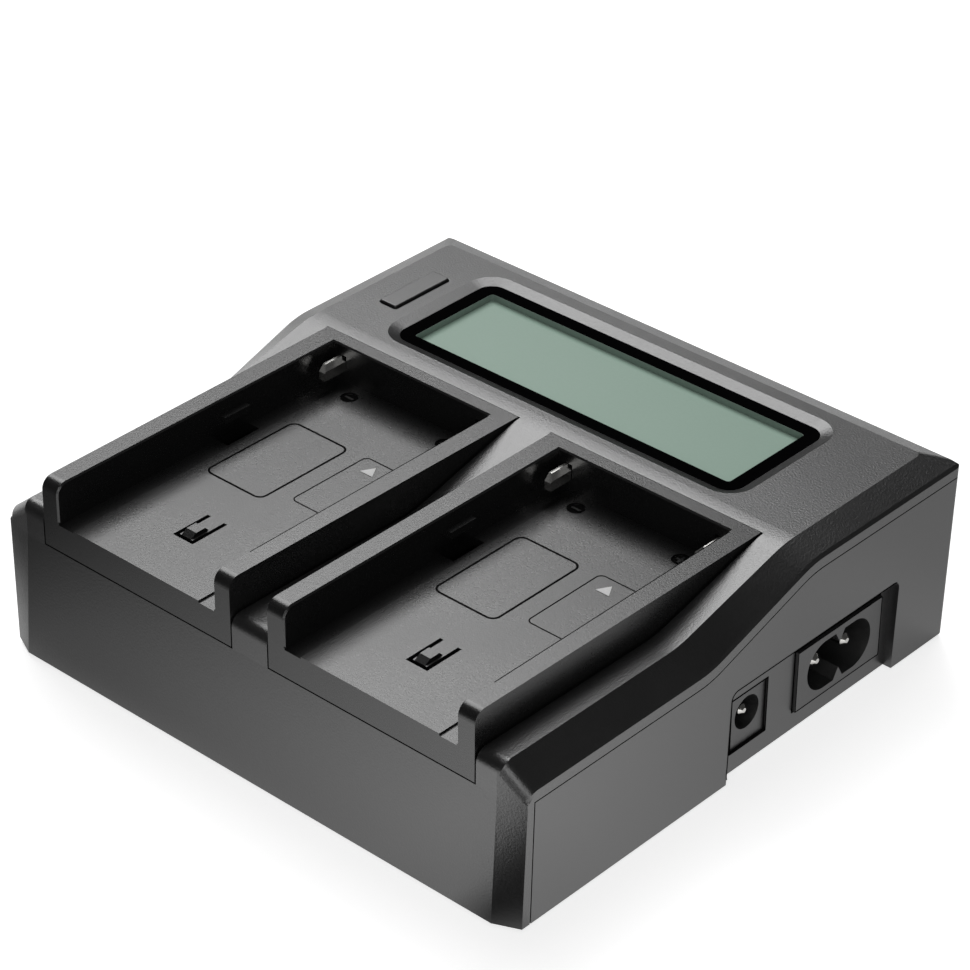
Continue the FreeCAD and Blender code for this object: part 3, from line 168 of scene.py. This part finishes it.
def makeFinish(name, values):
    material, tree, shader = newMaterial(name)
    fine = grain(tree, values["grainScale"], noise["fineDetail"], values.get("stretch"))
    cloud = grain(tree, values["cloudScale"], noise["cloudDetail"])
    fineMix = fine.over(*noise["range"]) * noise["fineShare"]
    mix = fineMix + cloud.over(*noise["range"]) * noise["cloudShare"]
    tree.links.new(mixedColour(tree, mix, values["dark"], values["light"]), shader.inputs["Base Color"])
    rough = (mix - 0.5) * values["roughnessSpread"] + values["roughness"]  # the mix runs from 0 to 1
    tree.links.new(rough.socket, shader.inputs["Roughness"])
    bump = addNode(tree, "ShaderNodeBump", {}, {
        "Strength": values["bump"], "Distance": values["bumpDepth"], "Height": fine,
    })
    tree.links.new(bump.outputs["Normal"], shader.inputs["Normal"])
    for socket, value in values.get("constants", {}).items():
        shader.inputs[socket].default_value = value
    return material


plasticShine = {"Specular IOR Level": 1.0, "IOR": 1.65}
trayShine = {"Specular IOR Level": 1.0, "IOR": 1.50}

finishes = {
    "coverPlastic": {
        "dark": (0.006, 0.006, 0.0061), "light": (0.011, 0.011, 0.0112),
        "grainScale": 2600, "cloudScale": 40, "roughness": 0.33, "roughnessSpread": 0.10,
        "bump": 0.6, "bumpDepth": 0.00008, "constants": plasticShine,
    },
    "trayPlastic": {
        "dark": (0.006, 0.006, 0.0061), "light": (0.010, 0.010, 0.0102),
        "grainScale": 3400, "cloudScale": 55, "roughness": 0.29, "roughnessSpread": 0.08,
        "bump": 0.4, "bumpDepth": 0.00006, "constants": trayShine,
    },
    "casePlastic": {
        "dark": (0.007, 0.007, 0.0071), "light": (0.011, 0.011, 0.0112),
        "grainScale": 3400, "cloudScale": 35, "roughness": 0.33, "roughnessSpread": 0.08,
        "bump": 0.35, "bumpDepth": 0.00005, "constants": plasticShine,
    },
    "bezelPlastic": {
        "dark": (0.0015, 0.0015, 0.0016), "light": (0.0025, 0.0025, 0.0027),
        "grainScale": 900, "cloudScale": 25, "roughness": 0.14, "roughnessSpread": 0.04,
        "bump": 0.02, "bumpDepth": 0.00004, "constants": {"Specular IOR Level": 0.0},
    },
    "displayGlass": {
        "dark": (0.345, 0.475, 0.398), "light": (0.362, 0.498, 0.418),
        "grainScale": 1800, "cloudScale": 20, "roughness": 0.30, "roughnessSpread": 0.04,
        "bump": 0.02, "bumpDepth": 0.00002, "constants": {"Specular IOR Level": 0.25},
    },
    "buttonPlastic": {
        "dark": (0.007, 0.007, 0.0071), "light": (0.012, 0.012, 0.0122),
        "grainScale": 3200, "cloudScale": 60, "roughness": 0.38, "roughnessSpread": 0.06,
        "bump": 0.2, "bumpDepth": 0.00005, "constants": plasticShine,
    },
    "inletPlastic": {
        "dark": (0.015, 0.015, 0.0152), "light": (0.026, 0.026, 0.0264),
        "grainScale": 2600, "cloudScale": 80, "roughness": 0.45, "roughnessSpread": 0.10,
        "bump": 0.45, "bumpDepth": 0.00007, "constants": plasticShine,
    },
    "terminalPlastic": {
        "dark": (0.010, 0.010, 0.010), "light": (0.018, 0.018, 0.018),
        "grainScale": 2400, "cloudScale": 90, "roughness": 0.5, "roughnessSpread": 0.08,
        "bump": 0.2, "bumpDepth": 0.00005,
    },
    "contactMetal": {
        "dark": (0.80, 0.79, 0.76), "light": (0.93, 0.92, 0.89),
        "grainScale": 2200, "cloudScale": 300, "roughness": 0.22, "roughnessSpread": 0.12,
        "bump": 0.10, "bumpDepth": 0.00002, "stretch": (1, 0.1, 1), "constants": {"Metallic": 1.0},
    },
    "platedPin": {
        "dark": (0.66, 0.65, 0.62), "light": (0.82, 0.81, 0.78),
        "grainScale": 1600, "cloudScale": 250, "roughness": 0.20, "roughnessSpread": 0.10,
        "bump": 0.06, "bumpDepth": 0.00002, "stretch": (0.1, 1, 1), "constants": {"Metallic": 1.0},
    },
    # painted reflection of the display in the walls of the bezel's window
    "paintedWindowReflection": {
        "dark": (0.20, 0.26, 0.225), "light": (0.26, 0.33, 0.29),
        "grainScale": 1500, "cloudScale": 60, "roughness": 0.4, "roughnessSpread": 0.06,
        "bump": 0.05, "bumpDepth": 0.00002,
    },
    "lightGuide": {
        "dark": (0.76, 0.77, 0.73), "light": (0.84, 0.85, 0.81),
        "grainScale": 900, "cloudScale": 60, "roughness": 0.3, "roughnessSpread": 0.05,
        "bump": 0.03, "bumpDepth": 0.00003,
    },
    "circuitBoard": {
        "dark": (0.018, 0.095, 0.040), "light": (0.028, 0.130, 0.055),
        "grainScale": 1400, "cloudScale": 120, "roughness": 0.34, "roughnessSpread": 0.10,
        "bump": 0.12, "bumpDepth": 0.00005,
    },
    "ferrite": {
        "dark": (0.022, 0.022, 0.024), "light": (0.040, 0.040, 0.043),
        "grainScale": 1500, "cloudScale": 160, "roughness": 0.62, "roughnessSpread": 0.12,
        "bump": 0.4, "bumpDepth": 0.00008,
    },
    "windingTape": {
        "dark": (0.62, 0.42, 0.045), "light": (0.74, 0.52, 0.070),
        "grainScale": 600, "cloudScale": 90, "roughness": 0.28, "roughnessSpread": 0.08,
        "bump": 0.1, "bumpDepth": 0.00006, "stretch": (0.2, 0.2, 6),
    },
    "capacitorSleeve": {
        "dark": (0.010, 0.014, 0.028), "light": (0.018, 0.024, 0.044),
        "grainScale": 1100, "cloudScale": 90, "roughness": 0.25, "roughnessSpread": 0.08,
        "bump": 0.08, "bumpDepth": 0.00004,
    },
    "heatSinkMetal": {
        "dark": (0.50, 0.51, 0.53), "light": (0.66, 0.67, 0.69),
        "grainScale": 1300, "cloudScale": 200, "roughness": 0.36, "roughnessSpread": 0.12,
        "bump": 0.14, "bumpDepth": 0.00004, "stretch": (1, 1, 0.08), "constants": {"Metallic": 1.0},
    },
    "fuseCeramic": {
        "dark": (0.66, 0.64, 0.58), "light": (0.76, 0.74, 0.69),
        "grainScale": 1200, "cloudScale": 150, "roughness": 0.4, "roughnessSpread": 0.08,
        "bump": 0.08, "bumpDepth": 0.00004,
    },
    "screwSteel": {
        "dark": (0.42, 0.42, 0.43), "light": (0.58, 0.58, 0.59),
        "grainScale": 2000, "cloudScale": 220, "roughness": 0.32, "roughnessSpread": 0.12,
        "bump": 0.12, "bumpDepth": 0.00003, "constants": {"Metallic": 1.0},
    },
    "footRubber": {
        "dark": (0.014, 0.014, 0.014), "light": (0.026, 0.026, 0.026),
        "grainScale": 1500, "cloudScale": 200, "roughness": 0.8, "roughnessSpread": 0.10,
        "bump": 0.4, "bumpDepth": 0.0001,
    },
    # dark print on the trays, and painted shade in the lines round the recess, the mains plate and the
    # sockets
    "linePrintAndShade": {
        "dark": (0.004, 0.004, 0.004), "light": (0.008, 0.008, 0.008),
        "grainScale": 3000, "cloudScale": 300, "roughness": 0.7, "roughnessSpread": 0.06,
        "bump": 0.1, "bumpDepth": 0.00002, "constants": {"Specular IOR Level": 0.0},
    },
    "arrowPaint": {
        "dark": (0.68, 0.68, 0.68), "light": (0.80, 0.80, 0.80),
        "grainScale": 2600, "cloudScale": 200, "roughness": 0.5, "roughnessSpread": 0.08,
        "bump": 0.1, "bumpDepth": 0.00003,
    },
}

materials = {name: makeFinish(name, values) for name, values in finishes.items()}

nodeFinish = {
    "top_cover": "coverPlastic", "bottom_case": "casePlastic",
    "left_battery_tray": "trayPlastic", "right_battery_tray": "trayPlastic",
    "left_contact_blades": "contactMetal", "right_contact_blades": "contactMetal",
    "left_terminal_block": "terminalPlastic", "right_terminal_block": "terminalPlastic",
    "lcd_bezel": "bezelPlastic", "lcd_panel": "displayGlass", "lcd_backlight": "lightGuide",
    "display_board": "circuitBoard", "main_board": "circuitBoard",
    "mode_button": "buttonPlastic", "mode_switch": "terminalPlastic",
    "mains_inlet": "inletPlastic", "low_voltage_jack": "inletPlastic",
    "mains_pins": "platedPin", "jack_pin": "platedPin",
    "transformer_core": "ferrite", "transformer_winding": "windingTape",
    "main_capacitor": "capacitorSleeve", "output_capacitors": "capacitorSleeve",
    "heat_sink": "heatSinkMetal", "charge_controller": "terminalPlastic",
    "line_filter": "ferrite", "fuse": "fuseCeramic",
    "case_screws": "screwSteel", "board_screws": "screwSteel", "rubber_feet": "footRubber",
}


def paint(item, finish):
    item.data.materials.clear()
    item.data.materials.append(materials[finish])


for nodeName in sorted(nodes):
    paint(nodes[nodeName], nodeFinish[nodeName])
print("finishes made")


# How each piece of trim is started, shaped and finished

def startPiece(name):
    item = bpy.context.object
    item.name = name
    item.data.name = name
    return item


def deselectAll():
    bpy.ops.object.select_all(action="DESELECT")


def selectOnly(item):
    deselectAll()
    item.select_set(True)
    bpy.context.view_layer.objects.active = item


def settle(item, finish, body):
    # the place goes into the mesh, then the piece gets its finish and rides on its body
    selectOnly(item)
    bpy.ops.object.transform_apply(location=True, rotation=True, scale=True)
    paint(item, finish)
    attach(item, body)


def thicken(item, height):
    lift = item.modifiers.new("thickness", "SOLIDIFY")
    lift.thickness = height
    lift.offset = 1
    bpy.context.view_layer.objects.active = item
    bpy.ops.object.modifier_apply(modifier="thickness")


def roundedPlate(name, place, half, corner, line=None):
    # a flat plate with round corners, or only its outline where line gives a width
    deselectAll()
    bpy.ops.mesh.primitive_plane_add(size=2, location=place)
    item = startPiece(name)
    bpy.ops.object.mode_set(mode="EDIT")
    bpy.ops.mesh.select_all(action="SELECT")
    bpy.ops.transform.resize(value=(*half, 1))
    bpy.ops.mesh.bevel(offset=corner, segments=6, affect="VERTICES")
    if line:
        bpy.ops.mesh.select_all(action="SELECT")
        bpy.ops.mesh.inset(thickness=line)
        bpy.ops.mesh.delete(type="FACE")
    bpy.ops.object.mode_set(mode="OBJECT")
    return item


# Markings on the trays

sides = ("left", "right")
trayDepth = 7.7 * mm  # from the top of the walls down to the floor
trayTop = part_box("left_battery_tray")[1][2]
floorHeight = trayTop - trayDepth
bayCentre = {
    side: (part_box(f"{side}_battery_tray")[0][0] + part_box(f"{side}_battery_tray")[1][0]) / 2
    for side in sides
}

label = {
    "centre": (-6.3 * mm, -16.6 * mm),
    "half": (7.2 * mm, 11.5 * mm),
    "corner": 1.8 * mm,
    "line": 0.42 * mm,
    "height": 0.04 * mm,
}

arrowFrame = {
    "centre": (9.6 * mm, -14.6 * mm),
    "half": (4.9 * mm, 9.7 * mm),
    "corner": 1.2 * mm,
    "line": 0.24 * mm,
    "height": 0.04 * mm,
}


def addFloorOutline(side, name, values):
    x, y = values["centre"]
    place = (bayCentre[side] + x, y, floorHeight)
    item = roundedPlate(f"{side}{name}", place, values["half"], values["corner"], values["line"])
    thicken(item, values["height"])
    settle(item, "linePrintAndShade", "charger")


arrow = {
    "centre": (8.75 * mm, -8.35 * mm),
    "radius": 1.75 * mm,
    "round": 0.12 * mm,
    "height": 0.08 * mm,
}


def addArrow(side):
    x, y = arrow["centre"]
    place = (bayCentre[side] + x, y, floorHeight)
    deselectAll()
    bpy.ops.mesh.primitive_circle_add(vertices=3, radius=arrow["radius"], fill_type="NGON", location=place)
    item = startPiece(f"{side}Arrow")
    bpy.ops.object.mode_set(mode="EDIT")
    bpy.ops.mesh.select_all(action="SELECT")
    bpy.ops.mesh.bevel(offset=arrow["round"], segments=3, affect="VERTICES")
    bpy.ops.object.mode_set(mode="OBJECT")
    thicken(item, arrow["height"])
    settle(item, "arrowPaint", "charger")


pole = {
    "across": {"Minus": -12 * mm, "Plus": 12 * mm},
    "back": 7.9 * mm,
    "depth": 0.4 * mm,  # how far the round marks are sunk into the floor
}


def polePlace(side, name):
    return (bayCentre[side] + pole["across"][name], pole["back"], floorHeight - pole["depth"])


disc = {
    "radius": 1.68 * mm,
    "rim": 0.22 * mm,
    "height": 0.05 * mm,
}


def addDisc(side, name):
    place = polePlace(side, name)
    deselectAll()
    bpy.ops.mesh.primitive_circle_add(vertices=40, radius=disc["radius"], fill_type="NGON", location=place)
    item = startPiece(f"{side}{name}Disc")
    bpy.ops.object.mode_set(mode="EDIT")
    bpy.ops.mesh.select_all(action="SELECT")
    bpy.ops.mesh.inset(thickness=disc["rim"])
    bpy.ops.transform.translate(value=(0, 0, disc["height"]))
    bpy.ops.object.mode_set(mode="OBJECT")
    settle(item, "linePrintAndShade", "charger")


sign = {
    "half": 0.2 * mm,
    "arm": 0.75 * mm,
    "height": 0.12 * mm,
    "near": 0.01 * mm,  # how close the middle of an edge lies to the side that it is taken for
    "arms": {
        "Minus": ((1, 0), (-1, 0)),
        "Plus": ((1, 0), (-1, 0), (0, 1), (0, -1)),
    },
}


def addSign(side, name):
    # a small square whose chosen sides are drawn out into arms
    deselectAll()
    bpy.ops.mesh.primitive_plane_add(size=2 * sign["half"], location=polePlace(side, name))
    item = startPiece(f"{side}{name}")
    for x, y in sign["arms"][name]:
        outward = Vector((x, y, 0))
        bpy.ops.object.mode_set(mode="EDIT")
        bpy.ops.mesh.select_mode(type="EDGE")
        bpy.ops.mesh.select_all(action="DESELECT")
        bpy.ops.object.mode_set(mode="OBJECT")
        for edge in item.data.edges:
            middle = sum((item.data.vertices[v].co for v in edge.vertices), Vector()) / 2
            edge.select = (middle - outward * sign["half"]).length < sign["near"]
        bpy.ops.object.mode_set(mode="EDIT")
        bpy.ops.mesh.extrude_region_move(TRANSFORM_OT_translate={"value": outward * sign["arm"]})
        bpy.ops.object.mode_set(mode="OBJECT")
    thicken(item, sign["height"])
    settle(item, "arrowPaint", "charger")


wallLine = {
    "across": 19.85 * mm,
    "span": (-49.0 * mm, 11.0 * mm),
    "half": 0.08 * mm,
    "corner": 0.05 * mm,
    "height": 0.02 * mm,
}


def addWallLine(side):
    front, back = wallLine["span"]
    place = (bayCentre[side] + wallLine["across"], (front + back) / 2, trayTop)
    half = (wallLine["half"], (back - front) / 2)
    item = roundedPlate(f"{side}WallLine", place, half, wallLine["corner"])
    thicken(item, wallLine["height"])
    settle(item, "linePrintAndShade", "charger")


for sideName in sides:
    addWallLine(sideName)
    addFloorOutline(sideName, "LabelFrame", label)
    addFloorOutline(sideName, "ArrowFrame", arrowFrame)
    addArrow(sideName)
    for poleName in ("Minus", "Plus"):
        addDisc(sideName, poleName)
        addSign(sideName, poleName)
print("tray markings made")


# Painted shade: dark lines round the recess and its two sockets, in place of the shade at their edges and
# gaps

lineLift = 0.01 * mm
lineHeight = 0.02 * mm
rayStart = 0.1  # metres along X, well outside the case


def surfaceX(node, y, z):
    place = nodes[node].ray_cast(Vector((rayStart, y, z)), Vector((-1, 0, 0)))[1]
    return place.x


def sideFrame(name, x, low, high, corner, line, tilt=0):
    # an outline that faces +X between two (y, z) corners
    half = ((high[1] - low[1]) / 2, (high[0] - low[0]) / 2)
    item = roundedPlate(name, (0, 0, 0), half, corner, line)
    item.location = (x, (low[0] + high[0]) / 2, (low[1] + high[1]) / 2)
    item.rotation_euler = (0, math.radians(90) + tilt, 0)
    return item


recess = {
    "low": (-4.25 * mm, 0.95 * mm),
    "high": (43.2 * mm, 20.3 * mm),
    "corner": 1.7 * mm,
    "line": 0.2 * mm,
    "beside": 2 * mm,  # how far in front of the recess the lean of the wall is measured
    "rise": 1 * mm,  # how far above the lower edge the lower of the two places lies
    "trim": 1 * mm,  # how far from the lower and the back edge the outline is cut away
}


# painted shade: a dark outline on the side wall along the recess's edge
def addRecessShadeLine():
    low, high = recess["low"], recess["high"]
    front = low[0] - recess["beside"]
    under = surfaceX("bottom_case", front, low[1] + recess["rise"])
    over = surfaceX("bottom_case", front, high[1])
    tilt = math.atan2(over - under, high[1] - low[1] - recess["rise"])
    x = (under + over) / 2 + lineLift
    item = sideFrame("recessShadeLine", x, low, high, recess["corner"], recess["line"], tilt)
    thicken(item, lineHeight)
    settle(item, "linePrintAndShade", "charger")
    selectOnly(item)
    # painted shade: the recess is open below, and its back edge is lit, so the dark line runs along the
    # front and the top edges, which lie in shade
    for face in item.data.polygons:
        face.select = face.center.z < low[1] + recess["trim"] or face.center.y > high[0] - recess["trim"]
    bpy.ops.object.mode_set(mode="EDIT")
    bpy.ops.mesh.select_mode(type="FACE")
    bpy.ops.mesh.delete(type="FACE")
    bpy.ops.object.mode_set(mode="OBJECT")


plate = {
    "corner": 0.1 * mm,
    "line": 0.2 * mm,
}


def addPlateShadeLine():
    # painted shade: the mains plate stands proud, so its own edge carries the dark line that stands for
    # the shade along it
    low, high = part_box("mains_inlet")
    x = high.x + lineLift
    item = sideFrame("mainsPlateShadeLine", x, (low.y, low.z), (high.y, high.z), plate["corner"], plate["line"])
    thicken(item, lineHeight)
    settle(item, "linePrintAndShade", "charger")


socketShade = {
    "corner": 0.15 * mm,
    "line": 0.3 * mm,
    "beside": 0.8 * mm,  # how far in front of the socket the wall is measured
}


# painted shade: a dark outline on the side wall round each socket, in place of the shade in the gap round
# it
def addSocketShadeLine(node):
    low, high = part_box(node)
    face = surfaceX("bottom_case", low.y - socketShade["beside"], (low.z + high.z) / 2)
    margin = socketShade["line"]
    item = sideFrame(
        f"{node}ShadedGap", face + lineLift,
        (low.y - margin, low.z - margin), (high.y + margin, high.z + margin),
        socketShade["corner"], margin,
    )
    thicken(item, lineHeight)
    settle(item, "linePrintAndShade", "charger")


addRecessShadeLine()
addPlateShadeLine()
for socketNode in ("mains_inlet", "low_voltage_jack"):
    addSocketShadeLine(socketNode)
print("side gaps made")


# Painted reflection of the display: a greenish band, darker than the display, on the walls of the bezel's
# window

windowReflection = {
    "wall": 0.08 * mm,
    "half": (37.75 * mm, 10.9 * mm),
    "corner": 0.75 * mm,
    "lift": 0.02 * mm,
    "height": 1.3 * mm,
}


# painted reflection: the band stands where the glossy black walls of the window would reflect the display
def addPaintedWindowReflection():
    low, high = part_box("lcd_bezel")
    _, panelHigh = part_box("lcd_panel")
    place = ((low.x + high.x) / 2, (low.y + high.y) / 2, panelHigh.z + windowReflection["lift"])
    item = roundedPlate("paintedWindowReflection", place, windowReflection["half"], windowReflection["corner"], windowReflection["wall"])
    thicken(item, windowReflection["height"])
    settle(item, "paintedWindowReflection", "charger")


addPaintedWindowReflection()
print("window liner made")


# Floor, light and surroundings

studio = {
    "floorSize": 8.0,
    "floorDrop": 0.00002,
    "floorColour": (0.80, 0.80, 0.80),
    "floorRoughness": 0.9,
    "floorLift": 0.74,
    "paperScale": 3,
    "paperDetail": 2.0,
    "paperDepth": 0.01,
    "aimHeight": 0.03,
    "worldLevel": 0.045,
}

# painted shade in the floor's colour, seen only in reflections: how far each dark patch dims, and the
# stretches in metres over which it sets in and ends
reflectionShade = {
    "front": (-0.064, -0.052),
    "left": (-0.09, 0.03),
    "leftDim": 0.94,
    "cornerStart": (0.046, 0.054),
    "cornerEnd": (0.085, 0.1),
    "cornerDim": 0.97,
    "right": (0.055, 0.06),
    "rear": (-0.03, 0.08),
    "rearDim": 0.5,
}

lamps = [
    {"name": "backLeftBox", "toward": (-0.557, 0.321, 0.766), "distance": 1.0, "size": 0.66, "power": 5.1},
    {"name": "backTopBox", "toward": (-0.17, 0.50, 0.85), "distance": 1.0, "size": 0.4, "power": 1.5},
    {"name": "frontRightBox", "toward": (0.55, -0.70, 0.46), "distance": 1.2, "size": 0.7, "power": 2.3},
    {"name": "overheadBox", "toward": (0.02, -0.05, 1.0), "distance": 1.5, "size": 1.2, "power": 2.0},
]


def reflectedDim(tree):
    # painted shade in the floor's colour for glossy rays only, standing in for black cards round the
    # object: it dims what its front, its corner and its right side reflect
    spot = addNode(tree, "ShaderNodeTexCoord", {}, {}).outputs["Object"]
    parts = addNode(tree, "ShaderNodeSeparateXYZ", {}, {"Vector": spot})
    x = Shade(tree, parts.outputs["X"])
    y = Shade(tree, parts.outputs["Y"])
    before = 1 - y.over(*reflectionShade["front"])
    leftward = 1 - x.over(*reflectionShade["left"])
    corner = x.over(*reflectionShade["cornerStart"]) * (1 - x.over(*reflectionShade["cornerEnd"]))
    rearward = x.over(*reflectionShade["right"]) * y.over(*reflectionShade["rear"])
    ahead = (leftward * reflectionShade["leftDim"] + corner * reflectionShade["cornerDim"]) * before
    return ahead + rearward * reflectionShade["rearDim"]


def addFloor():
    deselectAll()
    bpy.ops.mesh.primitive_plane_add(size=studio["floorSize"], location=(0, 0, -studio["floorDrop"]))
    floor = bpy.context.object
    floor.name = "floor"
    paper, tree, shader = newMaterial("floorPaper")
    rays = addNode(tree, "ShaderNodeLightPath", {}, {})
    mirrored = Shade(tree, rays.outputs["Is Glossy Ray"])
    # painted shade: glossy rays see the floor darker where the object's faces reflect it
    lit = 1 - mirrored * reflectedDim(tree)
    depth = studio["paperDepth"]
    tone = (grain(tree, studio["paperScale"], studio["paperDetail"]) * depth + (1 - depth)) * lit
    tree.links.new(mixedColour(tree, tone, (0, 0, 0), studio["floorColour"]), shader.inputs["Base Color"])
    shader.inputs["Roughness"].default_value = studio["floorRoughness"]
    seen = Shade(tree, rays.outputs["Is Camera Ray"]) + mirrored
    seen = seen + Shade(tree, rays.outputs["Is Transmission Ray"])
    glow = addNode(tree, "ShaderNodeEmission", {}, {"Strength": seen * studio["floorLift"] * lit})
    both = addNode(tree, "ShaderNodeAddShader", {}, {0: shader.outputs[0], 1: glow.outputs[0]})
    out = next(n for n in tree.nodes if n.type == "OUTPUT_MATERIAL")
    tree.links.new(both.outputs[0], out.inputs["Surface"])
    floor.data.materials.append(paper)


def addLamps():
    for values in lamps:
        data = bpy.data.lights.new(values["name"], "AREA")
        data.shape = "SQUARE"
        data.size = values["size"]
        data.energy = values["power"]
        lamp = bpy.data.objects.new(values["name"], data)
        scene.collection.objects.link(lamp)
        away = Vector(values["toward"]).normalized()
        lamp.location = away * values["distance"] + Vector((0, 0, studio["aimHeight"]))
        lamp.rotation_euler = away.to_track_quat("Z", "Y").to_euler()


def setWorld():
    world = bpy.data.worlds.new("studio")
    world.use_nodes = True
    tree = world.node_tree
    backdrop = tree.nodes["Background"]
    rays = addNode(tree, "ShaderNodeLightPath", {}, {})
    level = Shade(tree, rays.outputs["Is Camera Ray"]) * (1 - studio["worldLevel"]) + studio["worldLevel"]
    backdrop.inputs["Color"].default_value = (1, 1, 1, 1)
    tree.links.new(level.socket, backdrop.inputs["Strength"])
    scene.world = world


addFloor()
addLamps()
setWorld()
scene.view_settings.view_transform = "Standard"
print("studio set")

bpy.context.view_layer.update()
